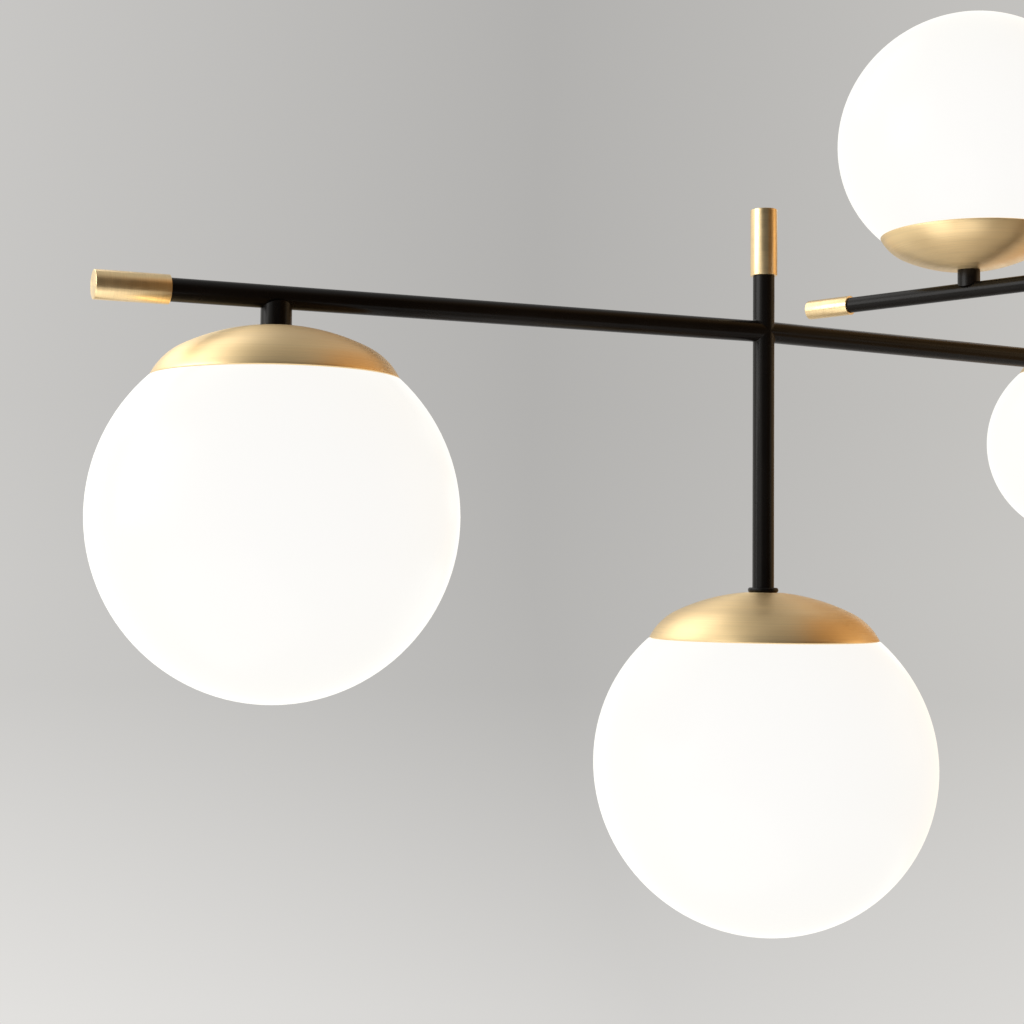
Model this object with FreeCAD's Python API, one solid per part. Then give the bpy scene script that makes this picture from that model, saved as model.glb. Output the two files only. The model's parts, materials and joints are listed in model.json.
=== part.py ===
import FreeCAD, Part
import math
import os

# Branch chandelier: three tubular arms at three heights turn on one threaded pipe under the
# ceiling, and carry six opal glass globes under or over spun domes.
# Millimetres. The origin is the middle of the ceiling bracket's fixing slots, on the ceiling,
# and +Z is up. Arm A's inner side runs along X.

Vector = FreeCAD.Vector
UP = Vector(0, 0, 1)
ACROSS = Vector(1, 0, 0)
SIDEWAYS = Vector(0, 1, 0)

# ---- driving dimensions ----

# globes and domes
GLOBE_RADIUS = 100.0
GLASS_WALL = 3.0
DOME_RIM_RADIUS = 67.0
DOME_HEIGHT = 28.0
DOME_SHOULDER_RADIUS = 35.0
DOME_RIM_ANGLE = 64.0
DOME_WALL = 1.2
DOME_SEAT_RADIUS = 11.0
RIM_GAP = 0.6
GLASS_SHOULDER = 22.4
NECK_HEIGHT = 8.5
NECK_CLEARANCE = 1.0

# twist lock between the glass neck and the ring inside the dome
LUG_COUNT = 3
LUG_ANGLE = 26.0
LUG_PROUD = 3.5
LUG_BASE = 4.5
LUG_HEIGHT = 3.0
TWIST = 45.0
NOTCH_ANGLE = 32.0
NOTCH_CLEARANCE = 0.7
RING_SHEET = 1.0
RING_HEIGHT = 4.2
RING_FOOT = 0.8
SOLDER_GAP = 0.1
TAB_ANGLE = 3.0
TAB_PLAY = 1.0
TAB_HEIGHT = 2.5
TAB_DEPTH = 1.2

# tube stock and the threaded pipe that runs inside it
TUBE_RADIUS = 6.35
TUBE_WALL = 1.2
PIPE_WALL = 1.5
PIPE_CLEARANCE = 0.15
WELD_GAP = 0.05
THREAD_FIT = 0.05
WIRE_HOLE_RADIUS = 2.6

# end caps
CAP_LENGTH = 40.0
CAP_WALL = 1.5
CAP_END = 4.0
CAP_CHAMFER = 0.6
CAP_LIP_CHAMFER = 0.3

# stubs, and the flanged feet of the drop rods
STUB_RADIUS = 8.5
STUB_SHOWN = 9.93
STUB_EAR_DROP = 2.7
STUB_EAR_RADIUS = 13.0
STUB_CHAMFER = 0.4
FLANGE_LEDGE = 2.55
FLANGE_RADIUS = TUBE_RADIUS + FLANGE_LEDGE
FLANGE_HEIGHT = 3.0
FLANGE_ROUND = 1.3

# arms: bearings from +X, and distances from the stem's axis
BEARING_A_INNER = 180.0
BEARING_A_OUTER = 172.5
BEARING_A_RIGHT = 0.0
BEARING_B_SHORT = 103.2
BEARING_B_LONG = 283.2
BEARING_C_LONG = 46.6
BEARING_C_TAIL = 226.6
A_ROD_REACH = 394.0
A_GLOBE_PAST_ROD = 305.3
A_RIGHT_GLOBE = 568.0
B_SHORT_GLOBE = 176.4
B_LONG_GLOBE = 666.0
C_ROD_REACH = 599.0
C_TAIL_END = 327.0
END_PAST_HANGING_GLOBE = 99.0
END_PAST_STANDING_GLOBE = 148.0
A_ROD_DROP = 156.28
C_ROD_DROP = 61.8
ROD_RISE = 73.7

# stem
ARM_A_DROP = 700.0
ARM_SPACING = 80.0
HUB_WALL = 7.0
HUB_HEIGHT = 26.0
HUB_CHAMFER = 1.2
SOCKET_DEPTH = 5.0
RUNNING_CLEARANCE = 0.05
AXIAL_PLAY = 0.2
SOCKET_PLAY = 0.2

# ceiling bracket and canopy
BRACKET_HALF_LENGTH = 55.0
BRACKET_WIDTH = 28.0
BRACKET_SHEET = 2.5
BRACKET_DEPTH = 18.0
BRACKET_PAN_HALF = 30.0
BRACKET_BEND = 1.5
SLOT_INSET = 10.0
SLOT_LENGTH = 12.0
SLOT_RADIUS = 2.75
CANOPY_CLEARANCE = 2.0
CANOPY_WALL = 1.2
CANOPY_HEIGHT = 34.0
CANOPY_ROUND = 4.0
CANOPY_CEILING_GAP = 0.5
CANOPY_STEM_CLEARANCE = 0.35
GRIP_LENGTH = 22.0
GRIP_WALL = 4.5
GRIP_CLEARANCE = 0.1
GRUB_RADIUS = 2.0
GRUB_SOCKET_FLATS = 2.0
GRUB_SOCKET_DEPTH = 2.2
GRUB_TIP_GAP = 0.15

# nuts
NUT_WALL = 2.0
NUT_HEIGHT = 3.0

# lampholder and lamp
HOLDER_LENGTH = 46.0
HOLDER_RADIUS = 13.5
HOLDER_NECK_RADIUS = 9.0
HOLDER_NECK_LENGTH = 7.0
HOLDER_SLOPE = 4.0
HOLDER_THREAD_DEPTH = 9.0
HOLDER_COLLAR_PROUD = 1.0
HOLDER_COLLAR_LENGTH = 6.0
HOLDER_NUT_GAP = 0.2
LAMP_BASE_RADIUS = 6.75
LAMP_BASE_LENGTH = 25.0
LAMP_BASE_CLEARANCE = 0.2
LAMP_RADIUS = 22.5
LAMP_LENGTH = 78.0
LAMP_SHOULDER_RADIUS = 9.0
LAMP_BODY_LENGTH = 18.0
LAMP_TIP_RADIUS = 4.5
LAMP_TIP_HEIGHT = 2.0
LAMP_SEAT_GAP = 0.5

# terminal block
BLOCK_LENGTH = 24.0
BLOCK_DEPTH = 14.0
BLOCK_HEIGHT = 11.0
BLOCK_POLES = 3
BLOCK_WIRE_RADIUS = 1.6
BLOCK_SCREW_RADIUS = 1.5
BLOCK_SCREW_DEPTH = 4.0
BLOCK_SCREW_INSET = 4.0
BLOCK_FROM_LEG = 2.0

# ---- sizes that follow ----

TUBE_BORE = TUBE_RADIUS - TUBE_WALL
PIPE_RADIUS = TUBE_BORE - PIPE_CLEARANCE
PIPE_BORE = PIPE_RADIUS - PIPE_WALL
THREAD_BORE = PIPE_RADIUS + THREAD_FIT

RIM_LEVEL = math.sqrt(GLOBE_RADIUS ** 2 - DOME_RIM_RADIUS ** 2)
DOME_TOP = RIM_LEVEL + DOME_HEIGHT
SHOULDER_OUT = DOME_RIM_RADIUS - DOME_SHOULDER_RADIUS * math.sin(math.radians(DOME_RIM_ANGLE))
SHOULDER_LEVEL = RIM_LEVEL - DOME_SHOULDER_RADIUS * math.cos(math.radians(DOME_RIM_ANGLE))
SHOULDER_DROP = DOME_TOP - SHOULDER_LEVEL
CROWN_RADIUS = (SHOULDER_OUT ** 2 + SHOULDER_DROP ** 2 - DOME_SHOULDER_RADIUS ** 2) / (
    2 * (SHOULDER_DROP - DOME_SHOULDER_RADIUS))
CROWN_LEVEL = DOME_TOP - CROWN_RADIUS
CROWN_ANGLE = math.atan2(SHOULDER_OUT, SHOULDER_LEVEL - CROWN_LEVEL)
CROWN = (0.0, CROWN_LEVEL, CROWN_RADIUS)
SHOULDER = (SHOULDER_OUT, SHOULDER_LEVEL, DOME_SHOULDER_RADIUS)
SEAT_LEVEL = CROWN_LEVEL + math.sqrt(CROWN_RADIUS ** 2 - DOME_SEAT_RADIUS ** 2)
NUT_SEAT_LEVEL = SEAT_LEVEL - DOME_WALL
HOLDER_TOP = NUT_SEAT_LEVEL - NUT_HEIGHT - HOLDER_NUT_GAP
HOLDER_MOUTH = HOLDER_TOP - HOLDER_LENGTH
NECK_RADIUS = DOME_RIM_RADIUS - GLASS_SHOULDER
STUB_REACH = STUB_SHOWN + TUBE_RADIUS

CAP_BORE = TUBE_RADIUS + WELD_GAP
CAP_RADIUS = CAP_BORE + CAP_WALL
CAP_DEPTH = CAP_LENGTH - CAP_END

HUB_BORE = PIPE_RADIUS + RUNNING_CLEARANCE
HUB_RADIUS = HUB_BORE + HUB_WALL
SOCKET_FLOOR = HUB_RADIUS - SOCKET_DEPTH
LEVEL_A = -ARM_A_DROP
LEVEL_B = LEVEL_A + ARM_SPACING
LEVEL_C = LEVEL_B + ARM_SPACING
FINIAL_TOP = LEVEL_A - HUB_HEIGHT / 2 - AXIAL_PLAY

PAN_TOP = -BRACKET_DEPTH
PAN_BOTTOM = PAN_TOP - BRACKET_SHEET
CANOPY_INSIDE = math.hypot(BRACKET_HALF_LENGTH, BRACKET_WIDTH / 2) + CANOPY_CLEARANCE
CANOPY_RADIUS = CANOPY_INSIDE + CANOPY_WALL
CANOPY_TOP = -CANOPY_CEILING_GAP
CANOPY_BOTTOM = CANOPY_TOP - CANOPY_HEIGHT
GRIP_BORE = TUBE_RADIUS + GRIP_CLEARANCE
GRIP_RADIUS = GRIP_BORE + GRIP_WALL


# ---- shapes ----

def along(bearing, distance, level=0.0, start=Vector(0, 0, 0)):
    """Point at a distance from start in the direction of a bearing, raised by level."""
    angle = math.radians(bearing)
    return start + Vector(distance * math.cos(angle), distance * math.sin(angle), level)


def cylinder(radius, length, foot=Vector(0, 0, 0), direction=UP):
    return Part.makeCylinder(radius, length, foot, direction)


def hollow(outer, inner, length, foot=Vector(0, 0, 0), direction=UP):
    return cylinder(outer, length, foot, direction).cut(cylinder(inner, length, foot, direction))


def at_height(radius, height):
    """Corner (r, z) on a sphere of the given radius about the local origin."""
    return (math.sqrt(radius ** 2 - height ** 2), height)


def on_arc(arc, inset, height):
    """Corner (r, z) at a height on an arc of the dome's outline, inset from its outside."""
    out, level, radius = arc
    return (out + math.sqrt((radius - inset) ** 2 - (height - level) ** 2), height)


def over_arc(arc, inset, start, end):
    """Step of a lathe along an arc of the dome's outline from one height to another."""
    out, level, radius = arc
    reach = radius - inset
    middle = (math.asin((start - level) / reach) + math.asin((end - level) / reach)) / 2
    return ((out + reach * math.cos(middle), level + reach * math.sin(middle)), on_arc(arc, inset, end))


def lathe(start, *steps, degrees=360.0):
    """Turned solid about Z. A step is the next corner (r, z), or (through, corner) for an arc."""
    edges = []
    here = start
    for step in steps + (start,):
        arc = isinstance(step[0], tuple)
        end = step[1] if arc else step
        a = Vector(here[0], 0, here[1])
        b = Vector(end[0], 0, end[1])
        if arc:
            through = Vector(step[0][0], 0, step[0][1])
            edges.append(Part.Arc(a, through, b).toShape())
        else:
            edges.append(Part.makeLine(a, b))
        here = end
    face = Part.Face(Part.Wire(edges))
    return face.revolve(Vector(0, 0, 0), UP, degrees)


def sector(inner, outer, low, high, middle, width):
    """Part of a ring between two heights, centred on an angle."""
    piece = lathe((inner, low), (outer, low), (outer, high), (inner, high), degrees=width)
    piece.rotate(Vector(0, 0, 0), UP, middle - width / 2)
    return piece


def ring_edges(shape, radius, height):
    """Circular edges of a turned solid at a radius and a height."""
    near = 0.01
    found = []
    for edge in shape.Edges:
        if edge.Degenerated or not isinstance(edge.Curve, Part.Circle):
            continue
        if abs(edge.Curve.Radius - radius) < near and abs(edge.Curve.Center.z - height) < near:
            found.append(edge)
    return found


def hexagon(across_flats, height, foot=Vector(0, 0, 0)):
    corner = across_flats / 2 / math.cos(math.radians(30))
    points = [along(60 * turn, corner, 0, foot) for turn in range(7)]
    return Part.Face(Part.makePolygon(points)).extrude(UP * height)


# ---- pieces of a globe, about its centre, with the dome towards +Z ----

def dome_cap():
    """Spun cap: a round shoulder over the rim runs into a flatter crown with a flat seat."""
    outer_join = SHOULDER_LEVEL + DOME_SHOULDER_RADIUS * math.cos(CROWN_ANGLE)
    inner_join = outer_join - DOME_WALL * math.cos(CROWN_ANGLE)
    return lathe(
        (DOME_RIM_RADIUS, RIM_LEVEL),
        over_arc(SHOULDER, 0, RIM_LEVEL, outer_join),
        over_arc(CROWN, 0, outer_join, SEAT_LEVEL),
        (THREAD_BORE, SEAT_LEVEL),
        (THREAD_BORE, NUT_SEAT_LEVEL),
        on_arc(CROWN, DOME_WALL, NUT_SEAT_LEVEL),
        over_arc(CROWN, DOME_WALL, NUT_SEAT_LEVEL, inner_join),
        over_arc(SHOULDER, DOME_WALL, inner_join, RIM_LEVEL),
    )


def glass_globe():
    inside = GLOBE_RADIUS - GLASS_WALL
    shoulder = RIM_LEVEL - RIM_GAP
    under_shoulder = shoulder - GLASS_WALL
    neck_top = RIM_LEVEL + NECK_HEIGHT
    neck_inside = NECK_RADIUS - GLASS_WALL
    glass = lathe(
        (0, -GLOBE_RADIUS),
        ((GLOBE_RADIUS, 0), at_height(GLOBE_RADIUS, shoulder)),
        (NECK_RADIUS, shoulder),
        (NECK_RADIUS, neck_top),
        (neck_inside, neck_top),
        (neck_inside, under_shoulder),
        at_height(inside, under_shoulder),
        ((inside, 0), (0, -inside)),
    )
    rim = at_height(GLOBE_RADIUS, shoulder)
    glass = glass.makeFillet(GLASS_WALL / 3, ring_edges(glass, *rim))
    glass = glass.makeFillet(GLASS_WALL / 2, ring_edges(glass, NECK_RADIUS, shoulder))
    glass = glass.makeFillet(GLASS_WALL / 3, ring_edges(glass, NECK_RADIUS, neck_top))
    glass = glass.makeFillet(GLASS_WALL / 3, ring_edges(glass, neck_inside, neck_top))
    glass = glass.makeFillet(GLASS_WALL / 2, ring_edges(glass, neck_inside, under_shoulder))
    low = RIM_LEVEL + LUG_BASE
    root = NECK_RADIUS - GLASS_WALL / 2
    for lug in range(LUG_COUNT):
        angle = 360.0 / LUG_COUNT * lug
        glass = glass.fuse(sector(root, NECK_RADIUS + LUG_PROUD, low, low + LUG_HEIGHT, angle, LUG_ANGLE))
    return glass


def gallery_ring():
    outside = DOME_WALL + SOLDER_GAP
    inside = outside + RING_SHEET
    top = RIM_LEVEL + RING_HEIGHT
    under = top - RING_SHEET
    foot = RIM_LEVEL + RING_FOOT
    opening = NECK_RADIUS + NECK_CLEARANCE
    ring = lathe(
        (opening, top),
        on_arc(SHOULDER, outside, top),
        over_arc(SHOULDER, outside, top, foot),
        on_arc(SHOULDER, inside, foot),
        over_arc(SHOULDER, inside, foot, under),
        (opening, under),
    )
    notch_end = NECK_RADIUS + LUG_PROUD + NOTCH_CLEARANCE
    below = under - RING_SHEET
    above = top + RING_SHEET
    for lug in range(LUG_COUNT):
        angle = 360.0 / LUG_COUNT * lug
        release = angle + TWIST
        ring = ring.cut(sector(NECK_RADIUS, notch_end, below, above, release, NOTCH_ANGLE))
        locked_stop = angle - LUG_ANGLE / 2 - TAB_PLAY - TAB_ANGLE / 2
        release_stop = release + NOTCH_ANGLE / 2 + TAB_ANGLE / 2
        for stop in (locked_stop, release_stop):
            ring = ring.fuse(sector(opening, opening + TAB_DEPTH, under, top + TAB_HEIGHT, stop, TAB_ANGLE))
    return ring.removeSplitter()


def lampholder():
    cavity = LAMP_BASE_RADIUS + LAMP_BASE_CLEARANCE
    cavity_top = HOLDER_MOUTH + LAMP_BASE_LENGTH + LAMP_SEAT_GAP
    collar = HOLDER_RADIUS + HOLDER_COLLAR_PROUD
    neck_foot = HOLDER_TOP - HOLDER_NECK_LENGTH
    thread_floor = HOLDER_TOP - HOLDER_THREAD_DEPTH
    return lathe(
        (THREAD_BORE, HOLDER_TOP),
        (HOLDER_NECK_RADIUS, HOLDER_TOP),
        (HOLDER_NECK_RADIUS, neck_foot),
        (HOLDER_RADIUS, neck_foot - HOLDER_SLOPE),
        (HOLDER_RADIUS, HOLDER_MOUTH + HOLDER_COLLAR_LENGTH),
        (collar, HOLDER_MOUTH + HOLDER_COLLAR_LENGTH),
        (collar, HOLDER_MOUTH),
        (cavity, HOLDER_MOUTH),
        (cavity, cavity_top),
        (0, cavity_top),
        (0, thread_floor),
        (THREAD_BORE, thread_floor),
    )


def lamp():
    base_top = HOLDER_MOUTH + LAMP_BASE_LENGTH
    below = HOLDER_MOUTH - LAMP_SEAT_GAP
    tip = base_top - LAMP_LENGTH
    centre = tip + LAMP_RADIUS
    joint = below - LAMP_BODY_LENGTH
    joint_radius = math.sqrt(LAMP_RADIUS ** 2 - (joint - centre) ** 2)
    return lathe(
        (0, base_top),
        (LAMP_TIP_RADIUS, base_top),
        (LAMP_BASE_RADIUS, base_top - LAMP_TIP_HEIGHT),
        (LAMP_BASE_RADIUS, below),
        (LAMP_SHOULDER_RADIUS, below),
        (joint_radius, joint),
        ((LAMP_RADIUS, centre), (0, tip)),
    )


def nipple():
    foot = HOLDER_TOP - HOLDER_THREAD_DEPTH + HOLDER_NUT_GAP
    top = SEAT_LEVEL + STUB_SHOWN - WELD_GAP
    return hollow(PIPE_RADIUS, PIPE_BORE, top - foot, Vector(0, 0, foot))


def locknut(foot):
    across_flats = 2 * (PIPE_RADIUS + NUT_WALL)
    nut = hexagon(across_flats, NUT_HEIGHT, foot)
    return nut.cut(cylinder(THREAD_BORE, NUT_HEIGHT, foot))


def stub():
    """Turned post on the dome, its end cut to sit round the arm's tube, which runs along X."""
    axis = SEAT_LEVEL + STUB_REACH
    ears = axis - STUB_EAR_DROP
    post = lathe(
        (THREAD_BORE, SEAT_LEVEL),
        (STUB_RADIUS - STUB_CHAMFER, SEAT_LEVEL),
        (STUB_RADIUS, SEAT_LEVEL + STUB_CHAMFER),
        (STUB_RADIUS, axis),
        (THREAD_BORE, axis),
    )
    width = 4 * STUB_RADIUS
    arch_level = ears - STUB_EAR_RADIUS
    corner = Vector(-width / 2, -width / 2, arch_level)
    above_arch = Part.makeBox(width, width, 2 * STUB_EAR_RADIUS, corner)
    arch = cylinder(STUB_EAR_RADIUS, width, Vector(0, -width / 2, arch_level), SIDEWAYS)
    saddle = cylinder(TUBE_RADIUS + WELD_GAP, width, Vector(-width / 2, 0, axis), ACROSS)
    return post.cut(above_arch.cut(arch)).cut(saddle)


# ---- tubes and caps ----

def arm_tube(level, bearing, start, end, origin=Vector(0, 0, 0)):
    """Straight length of tube at a level, between two distances from origin on a bearing."""
    foot = along(bearing, start, 0, origin)
    foot.z = level
    return hollow(TUBE_RADIUS, TUBE_BORE, end - start, foot, along(bearing, 1))


def wire_hole(centre, direction):
    """Drill for the wires through one wall of the tube, from its axis outwards."""
    return cylinder(WIRE_HOLE_RADIUS, 2 * TUBE_RADIUS, centre, direction)


def coped(tube, rod_axis):
    """Tube cut to fit against an upright rod of the same stock."""
    foot = Vector(rod_axis.x, rod_axis.y, rod_axis.z - 2 * TUBE_RADIUS)
    return tube.cut(cylinder(TUBE_RADIUS + WELD_GAP, 4 * TUBE_RADIUS, foot))


def drop_rod(arm_point, drop, bearings):
    """Upright tube across the arm, with a turned flange at its foot and holes towards the arm."""
    foot = Vector(arm_point.x, arm_point.y, arm_point.z - drop)
    rod = lathe(
        (TUBE_BORE, 0),
        (FLANGE_RADIUS, 0),
        (FLANGE_RADIUS, FLANGE_HEIGHT),
        (TUBE_RADIUS, FLANGE_HEIGHT),
        (TUBE_RADIUS, drop + ROD_RISE - CAP_END),
        (TUBE_BORE, drop + ROD_RISE - CAP_END),
    )
    flange_edges = ring_edges(rod, FLANGE_RADIUS, 0) + ring_edges(rod, FLANGE_RADIUS, FLANGE_HEIGHT)
    rod = rod.makeFillet(FLANGE_ROUND, flange_edges)
    rod.translate(foot)
    for bearing in bearings:
        rod = rod.cut(wire_hole(arm_point, along(bearing, 1)))
    return rod


def end_cap(end_point, direction):
    """Turned cap pushed over a tube, its flat end at end_point and facing along direction."""
    cap = lathe(
        (0, 0),
        (CAP_RADIUS - CAP_CHAMFER, 0),
        (CAP_RADIUS, -CAP_CHAMFER),
        (CAP_RADIUS, CAP_LIP_CHAMFER - CAP_LENGTH),
        (CAP_RADIUS - CAP_LIP_CHAMFER, -CAP_LENGTH),
        (CAP_BORE, -CAP_LENGTH),
        (CAP_BORE, -CAP_END),
        (0, -CAP_END),
    )
    cap.Placement = FreeCAD.Placement(end_point, FreeCAD.Rotation(UP, direction))
    return cap


# ---- stem ----

def hub(level, bearings):
    """Turned hub on the pipe, with a socket and a wire way for each side of its arm."""
    low = -HUB_HEIGHT / 2
    high = HUB_HEIGHT / 2
    body = lathe(
        (HUB_BORE, low),
        (HUB_RADIUS - HUB_CHAMFER, low),
        (HUB_RADIUS, low + HUB_CHAMFER),
        (HUB_RADIUS, high - HUB_CHAMFER),
        (HUB_RADIUS - HUB_CHAMFER, high),
        (HUB_BORE, high),
    )
    for bearing in bearings:
        outwards = along(bearing, 1)
        body = body.cut(cylinder(CAP_BORE, HUB_RADIUS, along(bearing, SOCKET_FLOOR), outwards))
        body = body.cut(wire_hole(Vector(0, 0, 0), outwards))
    body.translate(Vector(0, 0, level))
    return body


def central_pipe():
    top = PAN_TOP + 2 * NUT_HEIGHT
    bottom = FINIAL_TOP - CAP_DEPTH + AXIAL_PLAY
    pipe = hollow(PIPE_RADIUS, PIPE_BORE, top - bottom, Vector(0, 0, bottom))
    openings = (
        (LEVEL_A, BEARING_A_INNER),
        (LEVEL_A, BEARING_A_RIGHT),
        (LEVEL_B, BEARING_B_SHORT),
        (LEVEL_B, BEARING_B_LONG),
        (LEVEL_C, BEARING_C_LONG),
        (LEVEL_C, BEARING_C_TAIL),
    )
    for level, bearing in openings:
        pipe = pipe.cut(wire_hole(Vector(0, 0, level), along(bearing, 1)))
    return pipe


def stem_sleeves():
    """Lengths of tube over the pipe: the long one to the ceiling, and one between each two hubs."""
    half = HUB_HEIGHT / 2 + AXIAL_PLAY
    top = PAN_BOTTOM - NUT_HEIGHT - AXIAL_PLAY
    spans = (
        (LEVEL_A + half, LEVEL_B - half),
        (LEVEL_B + half, LEVEL_C - half),
        (LEVEL_C + half, top),
    )
    return [hollow(TUBE_RADIUS, TUBE_BORE, high - low, Vector(0, 0, low)) for low, high in spans]


def stem_finial():
    """Cap like those on the arms, screwed on the pipe's lower end under the lowest hub."""
    finial = lathe(
        (THREAD_BORE, 0),
        (CAP_RADIUS - CAP_LIP_CHAMFER, 0),
        (CAP_RADIUS, -CAP_LIP_CHAMFER),
        (CAP_RADIUS, CAP_CHAMFER - CAP_LENGTH),
        (CAP_RADIUS - CAP_CHAMFER, -CAP_LENGTH),
        (0, -CAP_LENGTH),
        (0, -CAP_DEPTH),
        (THREAD_BORE, -CAP_DEPTH),
    )
    finial.translate(Vector(0, 0, FINIAL_TOP))
    return finial


# ---- ceiling ----

def ceiling_bracket():
    """Strip bent into a hat: two slotted ears on the ceiling, and a pan that holds the pipe."""
    wall = BRACKET_SHEET
    far = BRACKET_HALF_LENGTH
    leg = BRACKET_PAN_HALF
    right_top = [(far, 0), (leg, 0), (leg, PAN_TOP)]
    right_under = [(leg + wall, PAN_BOTTOM), (leg + wall, -wall), (far, -wall)]
    outline = [(-x, z) for x, z in right_top] + list(reversed(right_top))
    outline += [(x, z) for x, z in reversed(right_under)] + [(-x, z) for x, z in right_under]
    points = [Vector(x, -BRACKET_WIDTH / 2, z) for x, z in outline]
    points.append(points[0])
    strip = Part.Face(Part.makePolygon(points)).extrude(SIDEWAYS * BRACKET_WIDTH)
    bends = []
    for edge in strip.Edges:
        first = edge.Vertexes[0].Point
        last = edge.Vertexes[-1].Point
        if abs(first.y - last.y) > BRACKET_WIDTH / 2 and abs(first.x) < far - wall:
            bends.append(edge)
    strip = strip.makeFillet(BRACKET_BEND, bends)
    slot_middle = BRACKET_HALF_LENGTH - SLOT_INSET
    straight = SLOT_LENGTH - 2 * SLOT_RADIUS
    for side in (-1, 1):
        foot = Vector(side * slot_middle - straight / 2, 0, -2 * wall)
        corner = foot - SIDEWAYS * SLOT_RADIUS
        strip = strip.cut(Part.makeBox(straight, 2 * SLOT_RADIUS, 3 * wall, corner))
        strip = strip.cut(cylinder(SLOT_RADIUS, 3 * wall, foot))
        strip = strip.cut(cylinder(SLOT_RADIUS, 3 * wall, foot + ACROSS * straight))
    return strip.cut(cylinder(THREAD_BORE, 3 * wall, Vector(0, 0, PAN_BOTTOM - wall)))


def stem_locknuts():
    return [locknut(Vector(0, 0, PAN_TOP)), locknut(Vector(0, 0, PAN_BOTTOM - NUT_HEIGHT))]


def terminal_block():
    """Connector strip standing on the bracket's pan beside the pipe."""
    high = BRACKET_PAN_HALF - BLOCK_FROM_LEG
    corner = Vector(high - BLOCK_DEPTH, -BLOCK_LENGTH / 2, PAN_TOP)
    block = Part.makeBox(BLOCK_DEPTH, BLOCK_LENGTH, BLOCK_HEIGHT, corner)
    pitch = BLOCK_LENGTH / BLOCK_POLES
    for pole in range(BLOCK_POLES):
        y = corner.y + pitch * (pole + 0.5)
        entry = Vector(corner.x, y, PAN_TOP + BLOCK_HEIGHT / 3)
        block = block.cut(cylinder(BLOCK_WIRE_RADIUS, BLOCK_DEPTH, entry, ACROSS))
        for x in (corner.x + BLOCK_SCREW_INSET, high - BLOCK_SCREW_INSET):
            well = Vector(x, y, PAN_TOP + BLOCK_HEIGHT - BLOCK_SCREW_DEPTH)
            block = block.cut(cylinder(BLOCK_SCREW_RADIUS, BLOCK_SCREW_DEPTH, well))
    return block


def canopy_cup():
    hole = TUBE_RADIUS + CANOPY_STEM_CLEARANCE
    cup = lathe(
        (CANOPY_RADIUS, CANOPY_TOP),
        (CANOPY_RADIUS, CANOPY_BOTTOM),
        (hole, CANOPY_BOTTOM),
        (hole, CANOPY_BOTTOM + CANOPY_WALL),
        (CANOPY_INSIDE, CANOPY_BOTTOM + CANOPY_WALL),
        (CANOPY_INSIDE, CANOPY_TOP),
    )
    cup = cup.makeFillet(CANOPY_ROUND, ring_edges(cup, CANOPY_RADIUS, CANOPY_BOTTOM))
    inner_round = CANOPY_ROUND - CANOPY_WALL
    return cup.makeFillet(inner_round, ring_edges(cup, CANOPY_INSIDE, CANOPY_BOTTOM + CANOPY_WALL))


def canopy_grip():
    """Collar under the canopy, held on the stem by a grub screw."""
    grip = lathe(
        (GRIP_BORE, 0),
        (GRIP_RADIUS, 0),
        (GRIP_RADIUS, CAP_CHAMFER - GRIP_LENGTH),
        (GRIP_RADIUS - CAP_CHAMFER, -GRIP_LENGTH),
        (GRIP_BORE, -GRIP_LENGTH),
    )
    middle = Vector(0, 0, -GRIP_LENGTH / 2)
    grip = grip.cut(cylinder(GRUB_RADIUS + THREAD_FIT, 2 * GRIP_RADIUS, middle, ACROSS))
    grip.translate(Vector(0, 0, CANOPY_BOTTOM))
    return grip


def canopy_grub_screw():
    start = TUBE_RADIUS + GRUB_TIP_GAP
    length = GRIP_RADIUS - start
    screw = cylinder(GRUB_RADIUS, length)
    screw = screw.cut(hexagon(GRUB_SOCKET_FLATS, length, Vector(0, 0, length - GRUB_SOCKET_DEPTH)))
    middle = Vector(start, 0, CANOPY_BOTTOM - GRIP_LENGTH / 2)
    screw.Placement = FreeCAD.Placement(middle, FreeCAD.Rotation(UP, ACROSS))
    return screw


# ---- where the globes are ----

A_ROD_POINT = along(BEARING_A_INNER, A_ROD_REACH, LEVEL_A)
C_ROD_POINT = along(BEARING_C_LONG, C_ROD_REACH, LEVEL_C)

# number, arm, point on the arm's axis, bearing of the arm there, upright, arm's axis to dome
GLOBES = (
    (1, "a", along(BEARING_A_OUTER, A_GLOBE_PAST_ROD, 0, A_ROD_POINT), BEARING_A_OUTER, False, STUB_REACH),
    (2, "a", A_ROD_POINT, BEARING_A_INNER, False, A_ROD_DROP),
    (3, "b", along(BEARING_B_SHORT, B_SHORT_GLOBE, LEVEL_B), BEARING_B_SHORT, True, STUB_REACH),
    (4, "c", C_ROD_POINT, BEARING_C_LONG, False, C_ROD_DROP),
    (5, "b", along(BEARING_B_LONG, B_LONG_GLOBE, LEVEL_B), BEARING_B_LONG, False, STUB_REACH),
    (6, "a", along(BEARING_A_RIGHT, A_RIGHT_GLOBE, LEVEL_A), BEARING_A_RIGHT, True, STUB_REACH),
)


def at_globe(shape, globe):
    """Copy of a globe's piece, moved from the local origin to where that globe is."""
    number, arm, point, bearing, upright, reach = globe
    distance = reach + SEAT_LEVEL
    centre = point + UP * (distance if upright else -distance)
    turn = FreeCAD.Rotation(UP, bearing)
    if upright:
        turn = turn.multiply(FreeCAD.Rotation(ACROSS, 180))
    moved = shape.copy()
    moved.Placement = FreeCAD.Placement(centre, turn)
    return moved


def on_stub(globe):
    return globe[5] == STUB_REACH


def drilled(tube, arm):
    """Tube with a wire hole at each stub on it."""
    for globe in GLOBES:
        if globe[1] == arm and on_stub(globe):
            tube = tube.cut(wire_hole(globe[2], UP if globe[4] else -UP))
    return tube


# ---- the arms ----

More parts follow.
